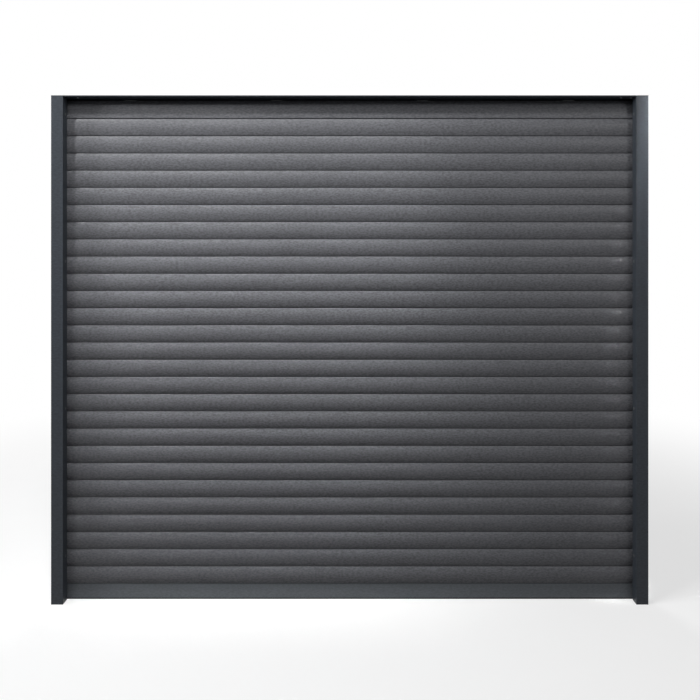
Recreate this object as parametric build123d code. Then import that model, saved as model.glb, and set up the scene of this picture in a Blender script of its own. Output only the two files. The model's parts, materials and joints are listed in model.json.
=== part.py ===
"""Roller shutter door for a garage, closed, with its guide rails and coil housing.

X runs along the width, from the left rail's outer face to the right rail's.
Y runs from front to back, with 0 at the middle of a rail's depth.
Z runs up from the floor. All sizes are in millimetres.
"""
from build123d import *
from math import acos, atan2, cos, degrees, hypot, radians, sin
import os

# Whole door
DOOR_WIDTH = 2640.0
DOOR_HEIGHT = 2250.0
COVER_THICKNESS = 2.0

# Slat section, measured from the curtain's middle plane
SLAT_PITCH = 77.3  # slats of 77 mm, drawn apart by the play of their hooks
SLAT_JOINT_GAP = 2.4
SLAT_BODY = 13.2
SLAT_BOW = 6.5
SLAT_CROWN = 9.25
SLAT_TOP_ROUND = 2.8
SLAT_EDGE_BEVEL = 1.0
HEAD_RADIUS = 3.2
HEAD_RISE = 6.5  # from the joint line up to the round's centre
HEAD_SETBACK = 2.3
NECK_THICKNESS = 1.8
HEAD_CLEARANCE = 0.4
NECK_CLEARANCE = 1.5  # lets a slat swing on the one below
LEDGE_CLEARANCE = 1.0  # free drop under the head, for the same swing
CHANNEL_BEVEL = 1.2
TOP_SLAT_LEAN = 12.0  # degrees
TOP_CLEARANCE = 12.0  # free height over the top joint, for the hangers

# Bottom bar and its rubber seal
BOTTOM_JOINT_HEIGHT = 68.0
BOTTOM_BAR_FRONT = 9.5
BOTTOM_BAR_BACK = 10.5
BOTTOM_BAR_WALL = 2.0
BOTTOM_BAR_CORNER = 2.0
BOTTOM_BAR_COVE = 7.0  # how far the front face falls back from the toe to the head
BOTTOM_BAR_TOE = 3.0
SEAL_HEIGHT = 6.0
SEAL_SLOT_WIDTH = 6.0
SEAL_ROOT_WIDTH = 11.0
SEAL_ROOT_HEIGHT = 3.5
SEAL_MARGIN = 1.5
SEAL_BORE_RADIUS = 1.6
SEAL_CLEARANCE = 0.25

# Guide rail: one extrusion with a front chamber, a slot for the curtain and a back lip
RAIL_FACE = 53.0
RAIL_WALL = 2.2
RAIL_CORNER = 1.5
FRONT_CHAMBER_DEPTH = 40.0
BACK_LIP_DEPTH = 12.5
RUNNING_GAP = 1.75  # between the slot's walls and the thickest part of the curtain
SLOT_FLOOR = 3.0
CURTAIN_END_GAP = 7.0
LEAD_OUT_DROP = 8.0  # the back lip ends this far under the top slat, so that it can lean back

# Fixing holes in each rail, one line
FIXING_COUNT = 4
FIXING_FIRST_HEIGHT = 203.0
FIXING_SPACING = 656.0
FIXING_SETBACK = 25.0  # from the rail's front face
FIXING_HOLE_RADIUS = 3.5
ACCESS_HOLE_RADIUS = 5.0

# Brush strips in the slot
BRUSH_WIDTH = 7.0
BRUSH_MARGIN = 2.0
BRUSH_CLEARANCE = 0.3

# Coil housing behind the top of the curtain
HOUSING_DEPTH = 285.0
HOUSING_HEIGHT = 285.0
HOUSING_CHAMFER = 85.0
PANEL_THICKNESS = 1.5
PANEL_RIB_DEPTH = 3.0
PANEL_RIB_WIDTH = 9.0
PANEL_HEM = 9.0
PANEL_END_GAP = 1.0
INLET_DROP = 7.0  # from the top slat's joint down to the front panel's hem
COVER_HEM = 12.0
COVER_REAR_LIP = 16.0
END_PLATE_INSET = 2.0
END_PLATE_THICKNESS = 3.0
END_FLANGE_WIDTH = 40.0

# Barrel and its bearings
BARREL_RADIUS = 51.0
BARREL_WALL = 2.5
BARREL_END_GAP = 24.0
BARREL_PLUG = 12.0
JOURNAL_RADIUS = 15.0
JOURNAL_CLEARANCE = 0.3
BEARING_SPIGOT_RADIUS = 26.0
BEARING_SPIGOT_CLEARANCE = 0.2
BEARING_FLANGE_RADIUS = 48.0
BEARING_FLANGE = 5.0
BEARING_HUB_RADIUS = 30.0
BEARING_HUB = 16.0

# Steel hangers between the top slat and the barrel
HANGER_COUNT = 4
HANGER_WIDTH = 50.0
HANGER_THICKNESS = 1.2
HANGER_CLEARANCE = 0.3
HANGER_END_MARGIN = 330.0
HANGER_CURL = 75.0  # degrees over the top slat's head
HANGER_WRAP = 80.0  # degrees round the barrel

# Places that follow from the sizes
SLAT_BACK = SLAT_BODY - SLAT_CROWN + SLAT_BOW
CURTAIN_FRONT = max(SLAT_CROWN, BOTTOM_BAR_FRONT)
CURTAIN_BACK = max(SLAT_BACK, BOTTOM_BAR_BACK)
SLOT_WIDTH = CURTAIN_FRONT + CURTAIN_BACK + 2 * RUNNING_GAP
RAIL_DEPTH = FRONT_CHAMBER_DEPTH + SLOT_WIDTH + BACK_LIP_DEPTH
FRONT_Y = -RAIL_DEPTH / 2
BACK_Y = RAIL_DEPTH / 2
SLOT_FRONT_Y = FRONT_Y + FRONT_CHAMBER_DEPTH
SLOT_BACK_Y = SLOT_FRONT_Y + SLOT_WIDTH
CURTAIN_Y = SLOT_FRONT_Y + RUNNING_GAP + CURTAIN_FRONT
SLAT_START_X = SLOT_FLOOR + CURTAIN_END_GAP
SLAT_LENGTH = DOOR_WIDTH - 2 * SLAT_START_X
RAIL_HEIGHT = DOOR_HEIGHT - COVER_THICKNESS
SLAT_COUNT = int((RAIL_HEIGHT - TOP_CLEARANCE - BOTTOM_JOINT_HEIGHT) // SLAT_PITCH)
TOP_JOINT_Z = BOTTOM_JOINT_HEIGHT + (SLAT_COUNT - 1) * SLAT_PITCH
LEAD_OUT_Z = TOP_JOINT_Z - LEAD_OUT_DROP
INLET_Z = TOP_JOINT_Z - INLET_DROP
HOUSING_BOTTOM_Z = DOOR_HEIGHT - HOUSING_HEIGHT
HOUSING_BACK_Y = BACK_Y + HOUSING_DEPTH
BARREL_Y = (BACK_Y + HOUSING_BACK_Y) / 2
BARREL_Z = (HOUSING_BOTTOM_Z + RAIL_HEIGHT) / 2
BARREL_START_X = END_PLATE_INSET + END_PLATE_THICKNESS + BARREL_END_GAP


def at(y, z):
    """A point of a section, as a vector in its plane."""
    return Vector(y, z)


def along_width(section, start, length):
    """A section drawn in Y and Z, carried along the width."""
    return extrude(Plane.YZ.offset(start) * section, amount=length)


def rectangle(low, high):
    """A rectangle between two corners."""
    size = (high[0] - low[0], high[1] - low[1])
    middle = ((high[0] + low[0]) / 2, (high[1] + low[1]) / 2)
    return Pos(*middle) * Rectangle(*size)


def corners_near(sketch, points):
    """The sketch's corners that lie on the given points."""
    return [v for v in sketch.vertices() if any((Vector(v) - p).length < 0.01 for p in points)]


def hook_head(height):
    """The neck and half-round head on top of a slat or bottom bar, above a joint at this height."""
    head_foot = height + HEAD_RISE
    neck = rectangle((HEAD_SETBACK - NECK_THICKNESS / 2, height - SLAT_JOINT_GAP),
                     (HEAD_SETBACK + NECK_THICKNESS / 2, head_foot + HEAD_RADIUS / 2))
    lower_half = rectangle((HEAD_SETBACK - HEAD_RADIUS, head_foot - HEAD_RADIUS),
                           (HEAD_SETBACK + HEAD_RADIUS, head_foot))
    return neck + (Pos(HEAD_SETBACK, head_foot) * Circle(HEAD_RADIUS) - lower_half)


def hook_channel():
    """The undercut channel along the foot of a slat, which hangs on the next head by its two ledges."""
    half_mouth = NECK_THICKNESS / 2 + NECK_CLEARANCE
    half_width = HEAD_RADIUS + HEAD_CLEARANCE
    roof = HEAD_RISE + half_width
    mouth = rectangle((HEAD_SETBACK - half_mouth, 0), (HEAD_SETBACK + half_mouth, HEAD_RISE))
    room = rectangle((HEAD_SETBACK - half_width, HEAD_RISE - LEDGE_CLEARANCE),
                     (HEAD_SETBACK + half_width, roof))
    roof_corners = [at(HEAD_SETBACK - half_width, roof), at(HEAD_SETBACK + half_width, roof)]
    return mouth + chamfer(corners_near(room, roof_corners), CHANNEL_BEVEL)


def slat_section():
    """A bowed slat: round crown to the front, hollow back, hook head above and channel below."""
    foot = SLAT_JOINT_GAP / 2
    head = SLAT_PITCH - SLAT_JOINT_GAP / 2
    front_edge = SLAT_BOW - SLAT_CROWN
    front_foot, front_head = at(front_edge, foot), at(front_edge, head)
    back_foot, back_head = at(SLAT_BACK, foot), at(SLAT_BACK, head)
    front = ThreePointArc(front_foot, at(-SLAT_CROWN, SLAT_PITCH / 2), front_head)
    back = ThreePointArc(back_head, at(SLAT_BODY - SLAT_CROWN, SLAT_PITCH / 2), back_foot)
    body = make_face([front, Line(front_head, back_head), back, Line(back_foot, front_foot)])
    body = fillet(corners_near(body, [front_head]), SLAT_TOP_ROUND)
    body = chamfer(corners_near(body, [front_foot, back_foot, back_head]), SLAT_EDGE_BEVEL)
    return body + hook_head(SLAT_PITCH) - hook_channel()


def lean_top_slat():
    """The turn of the top slat about the head of the slat below, towards the barrel."""
    hinge = Pos(HEAD_SETBACK, HEAD_RISE)
    return hinge * Rot(0, 0, -TOP_SLAT_LEAN) * hinge.inverse()


def slat(number, section):
    """One slat of the hanging curtain, counted from the floor. The last one leans back."""
    joint_z = BOTTOM_JOINT_HEIGHT + (number - 1) * SLAT_PITCH
    if number == SLAT_COUNT:
        section = lean_top_slat() * section
    return along_width(Pos(CURTAIN_Y, joint_z) * section, SLAT_START_X, SLAT_LENGTH)


def bottom_bar():
    """The hollow bar under the curtain, coved down its front to a toe, with a slot below for its seal."""
    head = BOTTOM_JOINT_HEIGHT - SLAT_JOINT_GAP / 2
    wall = BOTTOM_BAR_WALL
    low, high = (-BOTTOM_BAR_FRONT, SEAL_HEIGHT), (BOTTOM_BAR_BACK, head)
    middle = (BOTTOM_BAR_BACK - BOTTOM_BAR_FRONT) / 2
    front_head = BOTTOM_BAR_COVE - BOTTOM_BAR_FRONT
    rise = head - SEAL_HEIGHT - BOTTOM_BAR_TOE
    cove_radius = (rise * rise + BOTTOM_BAR_COVE * BOTTOM_BAR_COVE) / (2 * BOTTOM_BAR_COVE)
    cove = Pos(front_head - cove_radius, head)
    outer = rectangle(low, high) - cove * Circle(cove_radius)
    corners = [at(*low), at(high[0], low[1]), at(*high), at(front_head, head)]
    outer = fillet(corners_near(outer, corners), BOTTOM_BAR_CORNER)
    root_top = SEAL_HEIGHT + wall + SEAL_ROOT_HEIGHT
    hollow = rectangle((low[0] + wall, root_top + wall), (high[0] - wall, head - wall))
    hollow -= cove * Circle(cove_radius + wall)
    half_root, half_mouth = SEAL_ROOT_WIDTH / 2, SEAL_SLOT_WIDTH / 2
    root = rectangle((middle - half_root, SEAL_HEIGHT + wall), (middle + half_root, root_top))
    mouth = rectangle((middle - half_mouth, SEAL_HEIGHT), (middle + half_mouth, root_top))
    section = outer - hollow - root - mouth + hook_head(BOTTOM_JOINT_HEIGHT)
    return along_width(Pos(CURTAIN_Y, 0) * section, SLAT_START_X, SLAT_LENGTH)


def bottom_seal():
    """The rubber seal: a root held in the bar's slot, and a soft lip on the floor."""
    middle = (BOTTOM_BAR_BACK - BOTTOM_BAR_FRONT) / 2
    gap = SEAL_CLEARANCE
    half_lip = (BOTTOM_BAR_BACK + BOTTOM_BAR_FRONT) / 2 - SEAL_MARGIN
    lip = rectangle((middle - half_lip, 0), (middle + half_lip, SEAL_HEIGHT))
    lip = fillet(corners_near(lip, [at(middle - half_lip, 0), at(middle + half_lip, 0)]), SEAL_HEIGHT / 2)
    lip -= Pos(middle, SEAL_HEIGHT / 2) * Circle(SEAL_BORE_RADIUS)
    root_foot = SEAL_HEIGHT + BOTTOM_BAR_WALL
    root = rectangle((middle - SEAL_ROOT_WIDTH / 2 + gap, root_foot + gap),
                     (middle + SEAL_ROOT_WIDTH / 2 - gap, root_foot + SEAL_ROOT_HEIGHT - gap))
    neck = rectangle((middle - SEAL_SLOT_WIDTH / 2 + gap, SEAL_HEIGHT / 2 + SEAL_BORE_RADIUS),
                     (middle + SEAL_SLOT_WIDTH / 2 - gap, root_foot + gap))
    section = lip + neck + root
    return along_width(Pos(CURTAIN_Y, 0) * section, SLAT_START_X, SLAT_LENGTH)


def rail_section():
    """The rail's extrusion seen from above, with its outer face at X 0 and its slot open towards +X."""
    outline = rectangle((0, FRONT_Y), (RAIL_FACE, BACK_Y))
    outline = fillet(outline.vertices(), RAIL_CORNER)
    inner = RAIL_FACE - RAIL_WALL
    front_hollow = rectangle((RAIL_WALL, FRONT_Y + RAIL_WALL), (inner, SLOT_FRONT_Y - RAIL_WALL))
    back_hollow = rectangle((RAIL_WALL, SLOT_BACK_Y + RAIL_WALL), (inner, BACK_Y - RAIL_WALL))
    slot = rectangle((SLOT_FLOOR, SLOT_FRONT_Y), (RAIL_FACE, SLOT_BACK_Y))
    return outline - front_hollow - back_hollow - slot


def fixing_heights():
    """The heights of the rail's fixing holes."""
    return [FIXING_FIRST_HEIGHT + i * FIXING_SPACING for i in range(FIXING_COUNT)]


def left_rail():
    """The left guide rail, drilled, with its back lip cut away behind the top slat."""
    rail = extrude(rail_section(), amount=RAIL_HEIGHT)
    low = (Align.MIN, Align.MIN, Align.MIN)
    lip_cut = Box(RAIL_FACE, RAIL_DEPTH, RAIL_HEIGHT - LEAD_OUT_Z, align=low)
    rail -= Pos(SLOT_FLOOR, SLOT_BACK_Y, LEAD_OUT_Z) * lip_cut
    drill = (Align.CENTER, Align.CENTER, Align.MIN)
    for height in fixing_heights():
        along_x = Pos(0, FRONT_Y + FIXING_SETBACK, height) * Rot(0, 90, 0)
        rail -= along_x * Cylinder(FIXING_HOLE_RADIUS, RAIL_FACE / 2, align=drill)
        rail -= along_x * Pos(0, 0, RAIL_FACE / 2) * Cylinder(ACCESS_HOLE_RADIUS, RAIL_FACE / 2, align=drill)
    return rail


def left_brushes():
    """The two brush strips on the walls of the left rail's slot, front and back of the curtain."""
    high_x = RAIL_FACE - BRUSH_MARGIN
    low_x = high_x - BRUSH_WIDTH
    front = rectangle((low_x, SLOT_FRONT_Y), (high_x, CURTAIN_Y - CURTAIN_FRONT - BRUSH_CLEARANCE))
    back = rectangle((low_x, CURTAIN_Y + CURTAIN_BACK + BRUSH_CLEARANCE), (high_x, SLOT_BACK_Y))
    return Compound(children=[extrude(strip, amount=LEAD_OUT_Z) for strip in (front, back)])


def sheet(points, thickness):
    """A folded sheet seen from its end: a mitred band on the left of a line of points."""
    offset = []
    for i, point in enumerate(points):
        before = points[max(i - 1, 0)]
        after = points[min(i + 1, len(points) - 1)]
        normals = []
        for a, b in ((before, point), (point, after)):
            run = hypot(b[0] - a[0], b[1] - a[1])
            if run:
                normals.append(((a[1] - b[1]) / run, (b[0] - a[0]) / run))
        mean_y = sum(n[0] for n in normals) / len(normals)
        mean_z = sum(n[1] for n in normals) / len(normals)
        share = thickness / (mean_y * mean_y + mean_z * mean_z)
        offset.append((point[0] + mean_y * share, point[1] + mean_z * share))
    return make_face(Polyline(*points, *reversed(offset), close=True))


def ribbed_line(start, end):
    """A straight panel line with one shallow stiffening groove pressed in its middle."""
    run = hypot(end[0] - start[0], end[1] - start[1])
    along = ((end[0] - start[0]) / run, (end[1] - start[1]) / run)
    out = (-along[1], along[0])
    line = [start]
    for place, depth in ((-1, 0), (-0.5, 1), (0.5, 1), (1, 0)):
        reach = run / 2 + place * PANEL_RIB_WIDTH
        line.append((start[0] + along[0] * reach + out[0] * depth * PANEL_RIB_DEPTH,
                     start[1] + along[1] * reach + out[1] * depth * PANEL_RIB_DEPTH))
    return line + [end]


def housing_corners():
    """The housing's outline: down its front, back along its floor and up its back."""
    return {
        "front_head": (BACK_Y, INLET_Z),
        "front_foot": (BACK_Y, HOUSING_BOTTOM_Z),
        "floor_back": (HOUSING_BACK_Y - HOUSING_CHAMFER, HOUSING_BOTTOM_Z),
        "back_foot": (HOUSING_BACK_Y, HOUSING_BOTTOM_Z + HOUSING_CHAMFER),
        "back_head": (HOUSING_BACK_Y, RAIL_HEIGHT),
        "front_top": (BACK_Y, RAIL_HEIGHT),
    }


def front_line():
    """The front panel's outer line, under its hem."""
    corner = housing_corners()
    y, z = corner["front_head"]
    return ribbed_line((y, z - 2 * PANEL_HEM), corner["front_foot"])


def floor_line():
    """The floor panel's outer line, behind the front panel."""
    corner = housing_corners()
    y, z = corner["front_foot"]
    return ribbed_line((y + PANEL_THICKNESS, z), corner["floor_back"])


def inspection_line():
    """The slanted panel's outer line."""
    corner = housing_corners()
    return ribbed_line(corner["floor_back"], corner["back_foot"])


def back_line():
    """The back panel's outer line, up to the cover."""
    corner = housing_corners()
    return ribbed_line(corner["back_foot"], corner["back_head"])


def front_panel_section():
    """The panel behind the curtain, with a hem folded back at the inlet."""
    y, z = housing_corners()["front_head"]
    hem = [(y + 2 * PANEL_HEM, z - PANEL_HEM), (y + PANEL_HEM, z), (y, z - PANEL_HEM)]
    return sheet(hem + front_line(), PANEL_THICKNESS)


def inspection_panel_section():
    """The slanted panel that comes off to reach the barrel, trimmed to its neighbours."""
    band = sheet(inspection_line(), PANEL_THICKNESS)
    return band - sheet(floor_line(), PANEL_THICKNESS) - sheet(back_line(), PANEL_THICKNESS)


def panel(section):
    """A housing panel, carried across both end plates."""
    start = END_PLATE_INSET + PANEL_END_GAP
    return along_width(section, start, DOOR_WIDTH - 2 * start)


def top_cover():
    """The flat cover over rails and housing, hemmed at the front and lipped at the back."""
    back = HOUSING_BACK_Y + COVER_THICKNESS
    plate = rectangle((FRONT_Y, RAIL_HEIGHT), (back, DOOR_HEIGHT))
    lip = rectangle((HOUSING_BACK_Y, DOOR_HEIGHT - COVER_REAR_LIP), (back, DOOR_HEIGHT))
    hem = rectangle((FRONT_Y, RAIL_HEIGHT - COVER_THICKNESS), (FRONT_Y + COVER_HEM, RAIL_HEIGHT))
    hem_start = RAIL_FACE + PANEL_END_GAP
    cover = along_width(plate + lip, 0, DOOR_WIDTH)
    return cover + along_width(hem, hem_start, DOOR_WIDTH - 2 * hem_start)


def left_end_plate():
    """The housing's left side, let in between the panels, with a flange behind the rail and a bore."""
    outline = Polyline(housing_corners()["front_top"], *front_line(), *floor_line(), *inspection_line()[1:],
                       *back_line()[1:], close=True)
    section = make_face(outline) - front_panel_section() - sheet(floor_line(), PANEL_THICKNESS)
    section = section - inspection_panel_section() - sheet(back_line(), PANEL_THICKNESS)
    flange_back = BACK_Y + PANEL_THICKNESS + PANEL_RIB_DEPTH + END_PLATE_THICKNESS
    flange = section & rectangle((BACK_Y, HOUSING_BOTTOM_Z), (flange_back, INLET_Z - 3 * PANEL_HEM))
    plate = section - Pos(BARREL_Y, BARREL_Z) * Circle(BEARING_SPIGOT_RADIUS)
    return (along_width(plate, END_PLATE_INSET, END_PLATE_THICKNESS)
            + along_width(flange, END_PLATE_INSET, END_FLANGE_WIDTH))


def barrel_disc(radius, start, end):
    """A round of the barrel's axis between two places along the width."""
    return along_width(Pos(BARREL_Y, BARREL_Z) * Circle(radius), start, end - start)


def left_bearing():
    """The left bearing: a flange on the end plate, a spigot in its bore and a journal for the barrel."""
    plate_face = END_PLATE_INSET + END_PLATE_THICKNESS
    journal_end = BARREL_START_X + BARREL_PLUG
    return (barrel_disc(BEARING_SPIGOT_RADIUS - BEARING_SPIGOT_CLEARANCE, END_PLATE_INSET, plate_face)
            + barrel_disc(BEARING_FLANGE_RADIUS, plate_face, plate_face + BEARING_FLANGE)
            + barrel_disc(BEARING_HUB_RADIUS, plate_face, plate_face + BEARING_HUB)
            + barrel_disc(JOURNAL_RADIUS, plate_face, journal_end))


def barrel():
    """The steel winding tube, plugged at both ends and bored for the journals."""
    end_x = DOOR_WIDTH - BARREL_START_X
    inner = barrel_disc(BARREL_RADIUS - BARREL_WALL, BARREL_START_X + BARREL_PLUG, end_x - BARREL_PLUG)
    bore = barrel_disc(JOURNAL_RADIUS + JOURNAL_CLEARANCE, BARREL_START_X, end_x)
    return barrel_disc(BARREL_RADIUS, BARREL_START_X, end_x) - inner - bore


def band(centre, radius, start, sweep):
    """A hanger's strip seen from its end, bent round a centre at this inner radius."""
    outer_radius = radius + HANGER_THICKNESS
    outer = CenterArc(centre, outer_radius, start, sweep)
    inner = CenterArc(centre, radius, start, sweep)
    return make_face([outer, Line(outer @ 1, inner @ 1), inner, Line(inner @ 0, outer @ 0)])


def hanger_section():
    """A hanger: a curl over the top slat's head, a straight strip and a wrap round the barrel."""
    lean = radians(TOP_SLAT_LEAN)
    head_centre = (CURTAIN_Y + HEAD_SETBACK + SLAT_PITCH * sin(lean),
                   TOP_JOINT_Z + HEAD_RISE + SLAT_PITCH * cos(lean))
    barrel_centre = (BARREL_Y, BARREL_Z)
    curl_radius = HEAD_RADIUS + HANGER_CLEARANCE
    wrap_radius = BARREL_RADIUS + HANGER_CLEARANCE
    run = (barrel_centre[0] - head_centre[0], barrel_centre[1] - head_centre[1])
    tangent = atan2(run[1], run[0]) + acos((curl_radius - wrap_radius) / hypot(*run))
    out = (cos(tangent), sin(tangent))
    edges = []
    for radius in (0, HANGER_THICKNESS):
        edges.append([(head_centre[i] + (curl_radius + radius) * out[i],) for i in (0, 1)])
        edges.append([(barrel_centre[i] + (wrap_radius + radius) * out[i],) for i in (0, 1)])
    points = [(y[0], z[0]) for y, z in (edges[0], edges[1], edges[3], edges[2])]
    strip = make_face(Polyline(*points, close=True))
    curl = band(head_centre, curl_radius, degrees(tangent), HANGER_CURL)
    wrap = band(barrel_centre, wrap_radius, degrees(tangent), -HANGER_WRAP)
    return strip + curl + wrap


def hangers():
    """The row of hangers along the barrel."""
    section = hanger_section()
    first = HANGER_END_MARGIN - HANGER_WIDTH / 2
    spacing = (DOOR_WIDTH - 2 * HANGER_END_MARGIN) / (HANGER_COUNT - 1)
    return Compound(children=[along_width(section, first + i * spacing, HANGER_WIDTH)
                              for i in range(HANGER_COUNT)])


def on_the_right(shape):
    """The right-hand twin of a left-hand piece."""
    return mirror(shape, about=Plane.YZ.offset(DOOR_WIDTH / 2))


def build():
    """Every piece by its name."""
    section = slat_section()
    parts = {f"slat_{n:02d}": slat(n, section) for n in range(1, SLAT_COUNT + 1)}
    parts["bottom_bar"] = bottom_bar()
    parts["bottom_seal"] = bottom_seal()
    for name, shape in (("guide_rail", left_rail()), ("brush_strips", left_brushes()),
                        ("end_plate", left_end_plate())):
        parts[f"left_{name}"] = shape
        parts[f"right_{name}"] = on_the_right(shape)
    parts["front_panel"] = panel(front_panel_section())
    parts["floor_panel"] = panel(sheet(floor_line(), PANEL_THICKNESS))
    parts["inspection_panel"] = panel(inspection_panel_section())
    parts["back_panel"] = panel(sheet(back_line(), PANEL_THICKNESS))
    parts["top_cover"] = top_cover()
    bearing = left_bearing()
    parts["barrel_bearings"] = Compound(children=[bearing, on_the_right(bearing)])
    parts["barrel"] = barrel()
    parts["hangers"] = hangers()
    return parts


os.makedirs("parts", exist_ok=True)
for name, shape in build().items():
    export_step(shape, f"parts/{name}.step")
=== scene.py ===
"""Looks of a closed roller shutter door: coated slats, guide rails, bottom bar and coil housing.

Lengths are in metres, with X along the width, Y from the outside to the inside and Z up.
Every new piece is a surface worked out with numpy: a closed profile carried along a line,
or one small shape copied to a row of places.
"""
import json
import math

import bpy
import numpy as np
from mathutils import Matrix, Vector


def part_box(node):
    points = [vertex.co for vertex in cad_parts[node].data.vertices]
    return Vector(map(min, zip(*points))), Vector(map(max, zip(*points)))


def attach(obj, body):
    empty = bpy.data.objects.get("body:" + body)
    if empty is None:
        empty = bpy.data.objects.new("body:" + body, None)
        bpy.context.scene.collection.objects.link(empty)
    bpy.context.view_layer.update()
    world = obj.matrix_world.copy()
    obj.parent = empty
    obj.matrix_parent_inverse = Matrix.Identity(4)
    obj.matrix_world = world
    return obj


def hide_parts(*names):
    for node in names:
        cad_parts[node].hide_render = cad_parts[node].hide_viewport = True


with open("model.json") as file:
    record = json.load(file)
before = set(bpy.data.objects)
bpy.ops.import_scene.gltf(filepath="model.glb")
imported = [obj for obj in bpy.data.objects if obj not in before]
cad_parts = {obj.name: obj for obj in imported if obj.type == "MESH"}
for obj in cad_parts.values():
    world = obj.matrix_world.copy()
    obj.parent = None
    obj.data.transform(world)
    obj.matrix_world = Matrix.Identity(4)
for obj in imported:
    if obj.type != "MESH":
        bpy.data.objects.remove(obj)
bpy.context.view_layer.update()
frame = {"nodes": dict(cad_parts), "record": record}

nodes = frame["nodes"]
MM = 0.001

# Slat section, measured from the joint line and from the curtain's middle plane
SLAT_PITCH = 77.3 * MM
SLAT_BODY = 13.2 * MM
SLAT_BOW = 6.5 * MM
SLAT_CROWN = 9.25 * MM
SLAT_FOOT = 1.2 * MM
SLAT_TOP_ROUND = 2.8 * MM
SLAT_BEVEL = 1.0 * MM
HEAD_RADIUS = 3.2 * MM
HEAD_RISE = 6.5 * MM
HEAD_SETBACK = 2.3 * MM
NECK_HALF = 0.9 * MM
CHANNEL_MOUTH_HALF = 2.4 * MM
CHANNEL_HALF = 3.6 * MM
CHANNEL_LEDGE = 5.5 * MM
CHANNEL_BEVEL = 1.2 * MM
TOP_SLAT_LEAN = math.radians(12.0)
SLAT_STATIONS = 67

# Slow waves of the rolled sheet: height, two lengths, share of the short one, shift from slat to slat
SHEET_WAVE = 0.04 * MM
WAVE_LONG, WAVE_SHORT = 0.61, 0.27
WAVE_SHORT_SHARE = 0.6
WAVE_SHIFT = 2.4

# Bottom bar section, measured from the floor and from the curtain's middle plane
BAR_FRONT = 9.5 * MM
BAR_BACK = 10.5 * MM
BAR_FOOT = 6.0 * MM
BAR_HEAD = 66.8 * MM
BAR_CORNER = 2.0 * MM
BAR_COVE = 7.0 * MM
BAR_TOE = 3.0 * MM
BAR_WALL = 2.0 * MM

# Rubber seal under the bar, and the slot that holds its root
SEAL_SLOT_HALF = 3.0 * MM
SEAL_ROOT_HALF = 5.5 * MM
SEAL_ROOT_HEIGHT = 3.5 * MM
SEAL_CLEARANCE = 0.25 * MM
SEAL_CORNER = 3.0 * MM
SEAL_RIB = 0.35 * MM

# Pile strips in the rails' slots: tufts along and across, and the pile's and backing's share of the thickness
PILE_STATIONS = 717
PILE_ACROSS = 8
PILE_TUFT = 0.45 * MM
PILE_PITCH = 4.4 * MM
PILE_STAGGER = 1.9
PILE_CLEARANCE = 0.3 * MM
PILE_BACKING = 0.3
PILE_EDGE = 0.35

# Fasteners
HEAD_SIDES = 16
CAP_RADIUS, CAP_HEIGHT = 6.4 * MM, 1.3 * MM
SCREW_RADIUS, SCREW_HEIGHT = 4.6 * MM, 1.7 * MM
BOLT_RADIUS, BOLT_HEIGHT = 6.5 * MM, 1.8 * MM
HEAD_PROFILE = ((1.0, 0.0), (1.0, 0.30), (0.93, 0.62), (0.78, 0.86), (0.55, 0.98), (0.36, 1.0), (0.30, 0.55))
SEATED = 0.15 * MM

# Places of the fasteners: the rails' access holes, the cover's screws, the panels' rows, the bearings' rings
ACCESS_HEIGHTS = (0.203, 0.859, 1.515, 2.171)
ACCESS_SETBACK = 25 * MM
COVER_SCREWS_X = (0.100, 2.537, 2.582)
COVER_SCREWS_Y = 6 * MM
PANEL_SCREWS = 9
PANEL_END_INSET = 60 * MM
SLANT_INSET = 11 * MM
EDGE_INSET = 14 * MM
BOLT_RING = 40 * MM

# Photographer's place, worked out from the converging lines of the rails
CAMERA_DISTANCE = 2.857
CAMERA_HEIGHT = 1.624
CAMERA_ASIDE = 0.0013
LENS = 33.26
SENSOR = 36.0
PHOTO_SIZE = 700.0
HORIZON_ROW = 237.0

# Strength of the highlight on the dull finishes
PAINT_SPECULAR = 0.25
RUBBER_SPECULAR = 0.12

# Stage: a weak even surround, a pale floor that whitens away from the door, and the lamps
# with their name, place, aim, width and depth, watts, and spread in degrees
WORLD_LEVEL = 0.10
WORLD_TINT = (0.95, 0.97, 1.0)
FLOOR_TONE = 0.92
FLOOR_BOUNCE = 0.10
FLOOR_WHITENING = 0.6
FLOOR_FADE = (1.7, 4.2)
FLOOR_RADIUS = 9.0
LAMPS = [
    ("left_low", (-2.20, -0.80, 2.61), (1.2, 0.0, 1.2), (0.20, 0.20), 31.0, 180.0),
    ("left_far", (-3.20, -0.80, 2.61), (1.2, 0.0, 1.2), (0.20, 0.20), 52.0, 180.0),
    ("middle_low", (0.30, -1.60, 3.00), (1.2, 0.0, 1.2), (0.20, 0.20), 7.0, 180.0),
    ("upper_left", (-0.85, -1.10, 3.95), (1.0, 0.0, 1.2), (0.20, 0.20), 50.0, 180.0),
    ("upper_middle", (0.50, -1.00, 3.70), (1.0, 0.0, 1.2), (0.15, 0.15), 15.0, 180.0),
    ("upper_right", (1.40, -0.75, 3.29), (1.5, 0.0, 1.2), (0.15, 0.15), 12.0, 180.0),
    ("overhead_strip", (0.90, -0.60, 3.40), (0.9, 0.0, 1.0), (1.60, 0.20), 2.8, 22.0),
    ("right_fill", (3.90, -2.90, 3.10), (2.2, 0.0, 1.6), (0.50, 0.50), 16.5, 180.0),
    ("rail_glint", (2.685, -0.11, 2.80), (2.642, -0.038, 2.10), (0.05, 0.05), 0.40, 9.3),
    ("back_fill", (0.90, 3.60, 2.90), (1.3, 0.3, 1.3), (1.80, 1.80), 70.0, 180.0),
]


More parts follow.
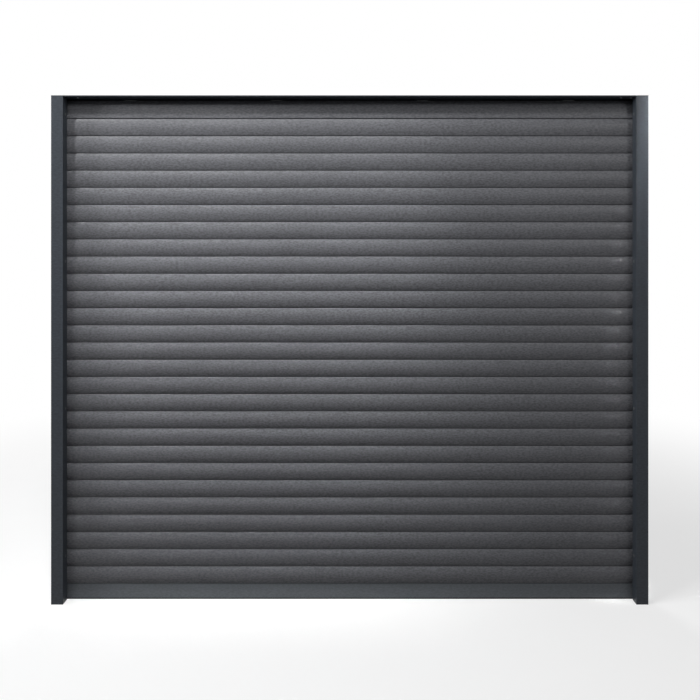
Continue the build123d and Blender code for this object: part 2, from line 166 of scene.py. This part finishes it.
def new_piece(name, points, faces, finish, sharp=30.0):
    """A mesh piece from points and faces, on the door's one body, smooth but for its sharp corners."""
    mesh = bpy.data.meshes.new(name)
    mesh.from_pydata(points.tolist(), [], faces)
    mesh.shade_smooth()
    mesh.set_sharp_from_angle(angle=math.radians(sharp))
    piece = bpy.data.objects.new(name, mesh)
    bpy.context.scene.collection.objects.link(piece)
    mesh.materials.append(finish)
    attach(piece, "root")
    return piece


def ring_faces(rings, count, first=0):
    """Quads between consecutive rings of points, and a flat face on each end ring.

    Point j of ring i has the number first + i * count + j. A ring that runs anticlockwise as seen from
    the far end of the row gives faces that point outwards.
    """
    i, j = np.meshgrid(np.arange(rings - 1), np.arange(count), indexing="ij")
    here = first + i * count + j
    beside = first + i * count + (j + 1) % count
    quads = np.stack([here, beside, beside + count, here + count], axis=-1).reshape(-1, 4)
    near = list(range(first + count - 1, first - 1, -1))
    last = first + (rings - 1) * count
    return quads.tolist() + [near, list(range(last, last + count))]


def arc(centre, radius, start, end, steps):
    """Points round a centre: centre + radius (cos a, sin a), with a running from start to end in degrees."""
    a = np.radians(np.linspace(start, end, steps))
    return np.column_stack([centre[0] + radius * np.cos(a), centre[1] + radius * np.sin(a)])


def slat_profile():
    """The slat's outline in (y, z), anticlockwise from its front foot.

    Front and back are arcs of one radius R = (h^2 / 4 + b^2) / (2 b), for a body of height h and bow b.
    """
    foot, head = SLAT_FOOT, SLAT_PITCH - SLAT_FOOT
    middle, height = (foot + head) / 2, head - foot
    radius = (height ** 2 / 4 + SLAT_BOW ** 2) / (2 * SLAT_BOW)
    centre_y = radius - SLAT_CROWN

    def face(z, setback):
        return centre_y + setback - np.sqrt(radius ** 2 - (z - middle) ** 2)

    left, right = HEAD_SETBACK - CHANNEL_HALF, HEAD_SETBACK + CHANNEL_HALF
    roof = HEAD_RISE + CHANNEL_HALF
    front_foot, back_foot = face(foot, 0.0), face(foot, SLAT_BODY)
    channel = [
        (front_foot + SLAT_BEVEL, foot), (HEAD_SETBACK - CHANNEL_MOUTH_HALF, foot),
        (HEAD_SETBACK - CHANNEL_MOUTH_HALF, CHANNEL_LEDGE), (left, CHANNEL_LEDGE),
        (left, roof - CHANNEL_BEVEL), (left + CHANNEL_BEVEL, roof),
        (right - CHANNEL_BEVEL, roof), (right, roof - CHANNEL_BEVEL),
        (right, CHANNEL_LEDGE), (HEAD_SETBACK + CHANNEL_MOUTH_HALF, CHANNEL_LEDGE),
        (HEAD_SETBACK + CHANNEL_MOUTH_HALF, foot), (back_foot - SLAT_BEVEL, foot),
    ]
    back_z = np.linspace(foot + SLAT_BEVEL, head - SLAT_BEVEL, 15)
    back = np.column_stack([face(back_z, SLAT_BODY), back_z])
    back_head = [(back_foot - SLAT_BEVEL, head)]
    round_z = head - SLAT_TOP_ROUND
    round_y = centre_y - math.sqrt((radius - SLAT_TOP_ROUND) ** 2 - (round_z - middle) ** 2)
    turn = math.degrees(math.atan2(round_z - middle, round_y - centre_y))
    top_round = arc((round_y, round_z), SLAT_TOP_ROUND, 90.0, turn, 9)
    front = arc((centre_y, middle), radius, turn,
                360.0 + math.degrees(math.atan2(foot + SLAT_BEVEL - middle, front_foot - centre_y)), 30)
    return np.vstack([channel, back, back_head, hook_head(SLAT_PITCH, head), top_round, front[1:]])


def along(axis, profile, start, end, stations):
    """A flat profile repeated at even places along an axis: rings of points, one for each place.

    The profile holds (y, z) for axis 0 and (x, y) for axis 2, so that the plane follows the axis in turn.
    """
    rings = np.empty((stations, len(profile), 3))
    rings[:, :, axis] = np.linspace(start, end, stations)[:, None]
    rings[:, :, (axis + 1) % 3] = profile[None, :, 0]
    rings[:, :, (axis + 2) % 3] = profile[None, :, 1]
    return rings


def hook_head(joint_z, body_head):
    """The outline of a neck and its half-round head over a joint, from the back of the neck to its front."""
    centre = (HEAD_SETBACK, joint_z + HEAD_RISE)
    back = [(HEAD_SETBACK + NECK_HALF, body_head), (HEAD_SETBACK + NECK_HALF, centre[1])]
    front = [(HEAD_SETBACK - NECK_HALF, centre[1]), (HEAD_SETBACK - NECK_HALF, body_head)]
    return np.vstack([back, arc(centre, HEAD_RADIUS, 0.0, 180.0, 15), front])


def slat_faces():
    """The 28 slats: the profile along the width, with the rolled sheet's slow waves pressed into its front.

    The wave is A w(z) (sin(2 pi x / L + p) + s sin(2 pi x / l + 2 p)), with the long length L, the short
    one l and its share s. Here w falls from 1 at the slat's middle to 0 at its edges, and the phase p
    differs from slat to slat.
    """
    profile = slat_profile()
    middle = SLAT_PITCH / 2
    on_front = profile[:, 0] < -SLAT_CROWN + SLAT_BOW + 1e-6
    weight = np.where(on_front, np.clip(1 - ((profile[:, 1] - middle) / middle) ** 2, 0, 1), 0.0)
    names = sorted(name for name in nodes if name.startswith("slat_"))
    curtain_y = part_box(names[0])[0][1] + SLAT_CROWN
    for number, name in enumerate(names):
        low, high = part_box(name)
        placed = profile.copy()
        joint_z = low[2] - SLAT_FOOT
        if name == names[-1]:
            placed = placed - (HEAD_SETBACK, HEAD_RISE)
            c, s = math.cos(TOP_SLAT_LEAN), math.sin(TOP_SLAT_LEAN)
            placed = placed @ np.array([[c, -s], [s, c]]) + (HEAD_SETBACK, HEAD_RISE)
            joint_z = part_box(names[-2])[0][2] - SLAT_FOOT + SLAT_PITCH
        rings = along(0, placed, low[0], high[0], SLAT_STATIONS)
        x = rings[:, 0, 0]
        phase = WAVE_SHIFT * number
        wave = np.sin(2 * np.pi * x / WAVE_LONG + phase)
        wave += WAVE_SHORT_SHARE * np.sin(2 * np.pi * x / WAVE_SHORT + 2 * phase)
        rings[:, :, 1] += curtain_y - SHEET_WAVE * wave[:, None] * weight[None, :]
        rings[:, :, 2] += joint_z
        faces = ring_faces(SLAT_STATIONS, len(profile))
        piece = new_piece(f"{name}_face", rings.reshape(-1, 3), faces, SLAT_PAINT)
        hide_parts(name)


def bar_profile():
    """The bottom bar's outline in (y, z): a cove of radius (h^2 + c^2) / (2 c) down its front to a toe."""
    front_head = BAR_COVE - BAR_FRONT
    rise = BAR_HEAD - BAR_FOOT - BAR_TOE
    cove = (rise ** 2 + BAR_COVE ** 2) / (2 * BAR_COVE)
    middle = (BAR_BACK - BAR_FRONT) / 2
    root_foot = BAR_FOOT + BAR_WALL
    root_top = root_foot + SEAL_ROOT_HEIGHT
    r = BAR_CORNER
    foot_round = arc((-BAR_FRONT + r, BAR_FOOT + r), r, 180.0, 270.0, 7)
    slot = [(middle - SEAL_SLOT_HALF, BAR_FOOT), (middle - SEAL_SLOT_HALF, root_foot),
            (middle - SEAL_ROOT_HALF, root_foot), (middle - SEAL_ROOT_HALF, root_top),
            (middle + SEAL_ROOT_HALF, root_top), (middle + SEAL_ROOT_HALF, root_foot),
            (middle + SEAL_SLOT_HALF, root_foot), (middle + SEAL_SLOT_HALF, BAR_FOOT)]
    back_foot = arc((BAR_BACK - r, BAR_FOOT + r), r, 270.0, 360.0, 7)
    back_head = arc((BAR_BACK - r, BAR_HEAD - r), r, 0.0, 90.0, 7)
    front_round = arc((front_head + r, BAR_HEAD - r), r, 90.0, 180.0, 9)
    drop = np.linspace(r, rise, 25)[1:]
    coved = np.column_stack([front_head - cove + np.sqrt(cove ** 2 - drop ** 2), BAR_HEAD - drop])
    hook = hook_head(BAR_HEAD + SLAT_FOOT, BAR_HEAD)
    return np.vstack([foot_round, slot, back_foot, back_head, hook, front_round, coved])


def seal_profile():
    """The seal's outline in (y, z): a lip with three shallow ribs down each side, a neck and a root."""
    middle = (BAR_BACK - BAR_FRONT) / 2
    low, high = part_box("bottom_seal")
    half = (high[1] - low[1]) / 2
    foot = arc((middle - half + SEAL_CORNER, SEAL_CORNER), SEAL_CORNER, 180.0, 270.0, 8)
    other_foot = arc((middle + half - SEAL_CORNER, SEAL_CORNER), SEAL_CORNER, 270.0, 360.0, 8)
    z = np.linspace(SEAL_CORNER, BAR_FOOT, 14)[1:]
    rib = SEAL_RIB * np.sin(np.pi * 3 * (z - SEAL_CORNER) / (BAR_FOOT - SEAL_CORNER)) ** 2
    back_side = np.column_stack([middle + half - rib, z])
    gap, root_foot = SEAL_CLEARANCE, BAR_FOOT + BAR_WALL
    root_top = root_foot + SEAL_ROOT_HEIGHT
    root = [(SEAL_SLOT_HALF - gap, BAR_FOOT), (SEAL_SLOT_HALF - gap, root_foot + gap),
            (SEAL_ROOT_HALF - gap, root_foot + gap), (SEAL_ROOT_HALF - gap, root_top - gap)]
    root = np.array(root) + (middle, 0.0)
    mirrored = root[::-1] * (-1, 1) + (2 * middle, 0.0)
    front_side = np.column_stack([middle - half + rib, z])[::-1]
    return np.vstack([foot, other_foot, back_side, root, mirrored, front_side])


def bar_and_seal():
    """The bottom bar and the rubber seal under it, each one profile along the width."""
    curtain_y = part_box("bottom_bar")[0][1] + BAR_FRONT
    for node, profile, slot, finish in (
            ("bottom_bar", bar_profile(), "bar_coating", BAR_PAINT),
            ("bottom_seal", seal_profile(), "seal_rubber", RUBBER)):
        low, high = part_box(node)
        rings = along(0, profile + (curtain_y, 0.0), low[0], high[0], SLAT_STATIONS)
        faces = ring_faces(SLAT_STATIONS, len(profile))
        piece = new_piece(f"{node}_skin", rings.reshape(-1, 3), faces, finish)
        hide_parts(node)


def pile_strips():
    """Pile strips: a flat backing and soft pile, which dips by A |sin(pi z / d + p)| between tufts d apart.

    Across its width u from 0 to 1 the pile stands e + (1 - e) sin(pi u)^0.4 of its thickness high, and the
    phase p grows across it, so that the tufts lie staggered.
    """
    bar_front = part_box("bottom_bar")[0][1]
    for side in ("left", "right"):
        low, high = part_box(f"{side}_brush_strips")
        thick = bar_front - PILE_CLEARANCE - low[1]
        across = np.linspace(0.06, 0.94, PILE_ACROSS)
        ridge = thick * (PILE_EDGE + (1 - PILE_EDGE) * np.sin(np.pi * across) ** 0.4)
        ridge_x = low[0] + (high[0] - low[0]) * across
        points, faces = [], []
        for wall_y, out in ((low[1], 1), (high[1], -1)):
            backing_y = wall_y + out * PILE_BACKING * thick
            pile = np.column_stack([ridge_x, wall_y + out * ridge])
            backing = [(high[0], backing_y), (high[0], wall_y), (low[0], wall_y), (low[0], backing_y)]
            profile = np.vstack([pile, backing])
            rings = along(2, profile, low[2], high[2], PILE_STATIONS)
            z = rings[:, :1, 2]
            shift = PILE_STAGGER * np.arange(PILE_ACROSS)[None, :]
            rings[:, :PILE_ACROSS, 1] -= out * PILE_TUFT * np.abs(np.sin(z * np.pi / PILE_PITCH + shift))
            if out > 0:
                rings = rings[:, ::-1]
            faces += ring_faces(PILE_STATIONS, len(profile), sum(len(p) for p in points))
            points.append(rings.reshape(-1, 3))
        piece = new_piece(f"{side}_pile", np.vstack(points), faces, PILE, sharp=50.0)
        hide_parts(f"{side}_brush_strips")


def heads(name, places, out, radius, height, finish):
    """Round fastener heads: a profile (r, h) turned about the direction out at each place.

    The profile rises from the seat over a rounded rim to the crown and falls into a small socket.
    """
    profile = np.array(HEAD_PROFILE) * (radius, height)
    out = np.asarray(out, float) / np.linalg.norm(out)
    u = np.cross(out, (0.0, 0.0, 1.0) if abs(out[2]) < 0.9 else (1.0, 0.0, 0.0))
    u /= np.linalg.norm(u)
    v = np.cross(out, u)
    a = np.linspace(0, 2 * np.pi, HEAD_SIDES, endpoint=False)
    turned = np.cos(a)[:, None] * u + np.sin(a)[:, None] * v
    shape = profile[:, :1, None] * turned[None] + (profile[:, 1, None, None] - SEATED) * out
    shape = shape.reshape(-1, 3)
    points = (np.asarray(places, float)[:, None, :] + shape[None]).reshape(-1, 3)
    faces = []
    for i in range(len(places)):
        faces += ring_faces(len(profile), HEAD_SIDES, i * len(shape))
    return new_piece(name, points, faces, finish, sharp=40.0)


def fasteners():
    """Caps in the rails' access holes, screws under the cover and in the panels, bolts on the end plates."""
    rail_low, rail_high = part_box("left_guide_rail")
    far_low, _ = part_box("right_guide_rail")
    for side, wall_x, out in (("left", rail_high[0], 1), ("right", far_low[0], -1)):
        places = [(wall_x, rail_low[1] + ACCESS_SETBACK, z) for z in ACCESS_HEIGHTS]
        heads(f"{side}_rail_caps", places, (out, 0, 0), CAP_RADIUS, CAP_HEIGHT, CAP_PLASTIC)

    floor_low, floor_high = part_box("floor_panel")
    back_low, back_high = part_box("back_panel")
    x = np.linspace(floor_low[0] + PANEL_END_INSET, floor_high[0] - PANEL_END_INSET, PANEL_SCREWS)
    slant_foot = np.array([floor_high[1], floor_low[2]])
    slant_head = np.array([back_high[1], back_low[2]])
    slant = (slant_head - slant_foot) / np.linalg.norm(slant_head - slant_foot)
    slant_rows = [slant_foot + slant * SLANT_INSET, slant_head - slant * SLANT_INSET]
    for name, places, out in (
            ("cover_screws", [(a, COVER_SCREWS_Y, rail_high[2]) for a in COVER_SCREWS_X], (0, 0, -1)),
            ("inspection_screws", [(a, y, z) for y, z in slant_rows for a in x], (0, slant[1], -slant[0])),
            ("back_panel_screws", [(a, back_high[1], back_low[2] + EDGE_INSET) for a in x], (0, 1, 0)),
            ("floor_panel_screws", [(a, floor_low[1] + EDGE_INSET, floor_low[2]) for a in x], (0, 0, -1))):
        heads(name, places, out, SCREW_RADIUS, SCREW_HEIGHT, ZINC)

    barrel_low, barrel_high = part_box("barrel")
    axis = ((barrel_low[1] + barrel_high[1]) / 2, (barrel_low[2] + barrel_high[2]) / 2)
    ring = arc(axis, BOLT_RING, 45.0, 315.0, 4)
    for side, edge, out in (("left", 0, -1), ("right", 1, 1)):
        face_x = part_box(f"{side}_end_plate")[edge][0]
        heads(f"{side}_bearing_bolts", [(face_x, y, z) for y, z in ring], (out, 0, 0),
              BOLT_RADIUS, BOLT_HEIGHT, ZINC)


def shader(name):
    """A new material with its Principled shader, and a maker of linked nodes for it."""
    material = bpy.data.materials.new(name)
    material.use_nodes = True
    tree = material.node_tree
    principled = tree.nodes["Principled BSDF"]

    def add(kind, settings=None, **inputs):
        made = tree.nodes.new("ShaderNode" + kind)
        for key, value in (settings or {}).items():
            setattr(made, key, value)
        for key, value in inputs.items():
            socket = made.inputs[key.replace("_", " ")]
            if isinstance(value, bpy.types.NodeSocket):
                tree.links.new(value, socket)
            else:
                socket.default_value = value
        return made

    return material, tree, principled, add


def powder_coat(name, dark, light, roughness=0.42, speck=0.75):
    """Satin powder coat on rolled sheet: specks, streaks drawn out along the width, slow drift, orange peel.

    The tone is speck * specks + (1 - speck) * (streaks + drift) / 2, spread from a dark to a light colour.
    """
    material, tree, principled, add = shader(name)
    place = add("TexCoord").outputs["Object"]

    def noise(stretch, scale, detail):
        turned = add("Mapping", Vector=place, Scale=stretch).outputs["Vector"]
        return add("TexNoise", Vector=turned, Scale=scale, Detail=detail, Roughness=0.6).outputs["Fac"]

    def blend(a, b, share):
        mixed = add("Mix", {"data_type": "FLOAT"})
        mixed.inputs["Factor"].default_value = share
        tree.links.new(a, mixed.inputs["A"])
        tree.links.new(b, mixed.inputs["B"])
        return mixed.outputs["Result"]

    specks = noise((0.42, 1.0, 1.0), 190.0, 1.0)
    streaks = noise((0.02, 1.0, 1.0), 420.0, 3.0)
    drift = noise((1.0, 1.0, 1.0), 1.7, 3.0)
    peel = noise((1.0, 1.0, 1.0), 900.0, 2.0)
    tone = add("ValToRGB", Fac=blend(blend(streaks, drift, 0.5), specks, speck))
    low, high = tone.color_ramp.elements
    low.position, high.position = 0.36, 0.64
    low.color, high.color = (*dark, 1), (*light, 1)
    tree.links.new(tone.outputs["Color"], principled.inputs["Base Color"])
    gloss = add("MapRange", Value=specks, To_Min=roughness - 0.08, To_Max=roughness + 0.10)
    tree.links.new(gloss.outputs["Result"], principled.inputs["Roughness"])
    principled.inputs["Specular IOR Level"].default_value = PAINT_SPECULAR
    fine = add("Bump", Height=peel, Strength=0.10, Distance=0.0004).outputs["Normal"]
    bumped = add("Bump", Height=specks, Strength=0.38, Distance=0.0008, Normal=fine).outputs["Normal"]
    tree.links.new(bumped, principled.inputs["Normal"])
    return material


def soft_matte(name, dark, light, roughness, scale, specular=0.5):
    """A dull moulded or bristle surface, mottled at one scale."""
    material, tree, principled, add = shader(name)
    place = add("TexCoord").outputs["Object"]
    mottle = add("TexNoise", Vector=place, Scale=scale, Detail=4.0, Roughness=0.6).outputs["Fac"]
    tone = add("ValToRGB", Fac=mottle)
    tone.color_ramp.elements[0].position = 0.35
    tone.color_ramp.elements[0].color = (*dark, 1)
    tone.color_ramp.elements[1].position = 0.68
    tone.color_ramp.elements[1].color = (*light, 1)
    tree.links.new(tone.outputs["Color"], principled.inputs["Base Color"])
    principled.inputs["Roughness"].default_value = roughness
    principled.inputs["Specular IOR Level"].default_value = specular
    bumped = add("Bump", Height=mottle, Strength=0.2, Distance=0.0005).outputs["Normal"]
    tree.links.new(bumped, principled.inputs["Normal"])
    return material


def zinc_plate(name):
    """Galvanised steel: spangle in a cellular pattern, with a brighter or duller sheen from cell to cell."""
    material, tree, principled, add = shader(name)
    place = add("TexCoord").outputs["Object"]
    cells = add("TexVoronoi", Vector=place, Scale=110.0, Randomness=1.0).outputs["Color"]
    cloud = add("TexNoise", Vector=place, Scale=9.0, Detail=4.0).outputs["Fac"]
    tone = add("Mix", {"data_type": "RGBA"}, Factor=cloud)
    tone.inputs["A"].default_value = (0.26, 0.27, 0.28, 1)
    tone.inputs["B"].default_value = (0.42, 0.43, 0.44, 1)
    tree.links.new(tone.outputs["Result"], principled.inputs["Base Color"])
    principled.inputs["Metallic"].default_value = 1.0
    gloss = add("MapRange", Value=cells, To_Min=0.38, To_Max=0.56)
    tree.links.new(gloss.outputs["Result"], principled.inputs["Roughness"])
    return material


def finish_frame():
    """Every CAD piece that stays gets the finish of its material slot."""
    finishes = {
        "slat_coating": SLAT_PAINT, "bar_coating": BAR_PAINT, "rail_coating": RAIL_PAINT,
        "housing_coating": HOUSING_PAINT, "zinc_steel": ZINC, "seal_rubber": RUBBER, "brush_pile": PILE,
    }
    for row in frame["record"]["subparts"]:
        part = nodes[row["node"]]
        part.data.materials.clear()
        part.data.materials.append(finishes[row["material_slot"]])


def seen_directly(tree):
    """1 for rays from the camera, mirror rays and rays through glass, 0 for light that falls on things."""
    rays = tree.nodes.new("ShaderNodeLightPath")
    total = rays.outputs["Is Camera Ray"]
    for other in ("Is Glossy Ray", "Is Transmission Ray"):
        larger = tree.nodes.new("ShaderNodeMath")
        larger.operation = "MAXIMUM"
        tree.links.new(total, larger.inputs[0])
        tree.links.new(rays.outputs[other], larger.inputs[1])
        total = larger.outputs[0]
    return total


def surround():
    """A world that looks white and lights the door weakly and evenly."""
    world = bpy.data.worlds.new("surround")
    bpy.context.scene.world = world
    world.use_nodes = True
    tree = world.node_tree
    light = tree.nodes["Background"]
    light.inputs["Color"].default_value = (*WORLD_TINT, 1)
    light.inputs["Strength"].default_value = WORLD_LEVEL
    white = tree.nodes.new("ShaderNodeBackground")
    white.inputs["Color"].default_value = (1, 1, 1, 1)
    mix = tree.nodes.new("ShaderNodeMixShader")
    tree.links.new(seen_directly(tree), mix.inputs[0])
    tree.links.new(light.outputs[0], mix.inputs[1])
    tree.links.new(white.outputs[0], mix.inputs[2])
    tree.links.new(mix.outputs[0], tree.nodes["World Output"].inputs[0])


def pale_floor():
    """A disc of pale floor that keeps the door's soft shadow and fades into the white surround."""
    a = np.linspace(0, 2 * np.pi, 96, endpoint=False)
    middle = np.array(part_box("top_cover")).mean(axis=0)[:2]
    rim = middle + FLOOR_RADIUS * np.column_stack([np.cos(a), np.sin(a)])
    points = np.column_stack([rim, 0 * a])
    mesh = bpy.data.meshes.new("floor")
    mesh.from_pydata(points.tolist(), [], [list(range(len(points)))])
    floor = bpy.data.objects.new("floor", mesh)
    bpy.context.scene.collection.objects.link(floor)
    material, tree, principled, add = shader("pale_floor")
    direct = seen_directly(tree)
    place = add("TexCoord").outputs["Object"]
    away = add("VectorMath", {"operation": "DISTANCE"})
    tree.links.new(place, away.inputs[0])
    away.inputs[1].default_value = (middle[0], middle[1], 0)
    fade = add("MapRange", {"interpolation_type": "SMOOTHSTEP"}, Value=away.outputs["Value"],
               From_Min=FLOOR_FADE[0], From_Max=FLOOR_FADE[1], To_Min=FLOOR_WHITENING, To_Max=1.0)
    share = add("Math", {"operation": "MULTIPLY"})
    tree.links.new(direct, share.inputs[0])
    tree.links.new(fade.outputs["Result"], share.inputs[1])
    mottle = add("TexNoise", Vector=place, Scale=6.0, Detail=5.0).outputs["Fac"]
    tone = add("MapRange", Value=mottle, To_Min=FLOOR_TONE - 0.02, To_Max=FLOOR_TONE + 0.02)
    shade = add("Mix", {"data_type": "FLOAT"})
    tree.links.new(direct, shade.inputs["Factor"])
    shade.inputs["A"].default_value = FLOOR_BOUNCE
    tree.links.new(tone.outputs["Result"], shade.inputs["B"])
    tree.links.new(shade.outputs["Result"], principled.inputs["Base Color"])
    principled.inputs["Roughness"].default_value = 0.9
    glow = add("Emission", Color=(1, 1, 1, 1), Strength=1.0)
    mix = add("MixShader")
    tree.links.new(share.outputs[0], mix.inputs[0])
    tree.links.new(principled.outputs[0], mix.inputs[1])
    tree.links.new(glow.outputs[0], mix.inputs[2])
    tree.links.new(mix.outputs[0], tree.nodes["Material Output"].inputs[0])
    floor.data.materials.append(material)


def lamps():
    """Studio lamps, each a bright rectangle turned towards its aim, with its light kept to a cone."""
    for name, place, aim, (width, depth), power, spread in LAMPS:
        light = bpy.data.lights.new(name, "AREA")
        light.shape = "RECTANGLE"
        light.size = width
        light.size_y = depth
        light.energy = power
        light.spread = math.radians(spread)
        lamp = bpy.data.objects.new(name, light)
        bpy.context.scene.collection.objects.link(lamp)
        lamp.location = place
        away = np.array(aim) - np.array(place)
        drop = math.atan2(math.hypot(away[0], away[1]), -away[2])
        lamp.rotation_euler = (drop, 0, -math.atan2(away[0], away[1]))


def camera():
    """The level camera of the photo, with its lens shifted down so that uprights stay parallel."""
    rail_low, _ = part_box("left_guide_rail")
    _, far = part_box("right_guide_rail")
    data = bpy.data.cameras.new("camera")
    data.lens = LENS
    data.sensor_width = SENSOR
    data.shift_y = (HORIZON_ROW - PHOTO_SIZE / 2) / PHOTO_SIZE
    view = bpy.data.objects.new("camera", data)
    bpy.context.scene.collection.objects.link(view)
    view.location = ((rail_low[0] + far[0]) / 2 + CAMERA_ASIDE, rail_low[1] - CAMERA_DISTANCE, CAMERA_HEIGHT)
    view.rotation_euler = (math.radians(90), 0, 0)
    bpy.context.scene.camera = view
    bpy.context.scene.view_settings.view_transform = "Standard"


SLAT_PAINT = powder_coat("grey_slat_coat", (0.084, 0.085, 0.0925), (0.143, 0.145, 0.158))
BAR_PAINT = powder_coat("grey_bar_coat", (0.088, 0.095, 0.1045), (0.112, 0.121, 0.133))
RAIL_PAINT = powder_coat("slate_rail_coat", (0.0285, 0.0335, 0.041), (0.0395, 0.0465, 0.0568), roughness=0.38)
HOUSING_PAINT = powder_coat("slate_housing_coat", (0.0285, 0.0335, 0.041), (0.0395, 0.0465, 0.0568))
ZINC = zinc_plate("zinc_plate")
RUBBER = soft_matte("black_rubber", (0.004, 0.004, 0.0045), (0.009, 0.009, 0.010), 0.80, 260.0,
                    specular=RUBBER_SPECULAR)
PILE = soft_matte("black_bristles", (0.008, 0.008, 0.009), (0.020, 0.020, 0.022), 0.9, 900.0)
CAP_PLASTIC = soft_matte("grey_cap_plastic", (0.060, 0.064, 0.070), (0.085, 0.090, 0.096), 0.35, 180.0)

finish_frame()
slat_faces()
bar_and_seal()
pile_strips()
fasteners()
surround()
pale_floor()
lamps()
camera()
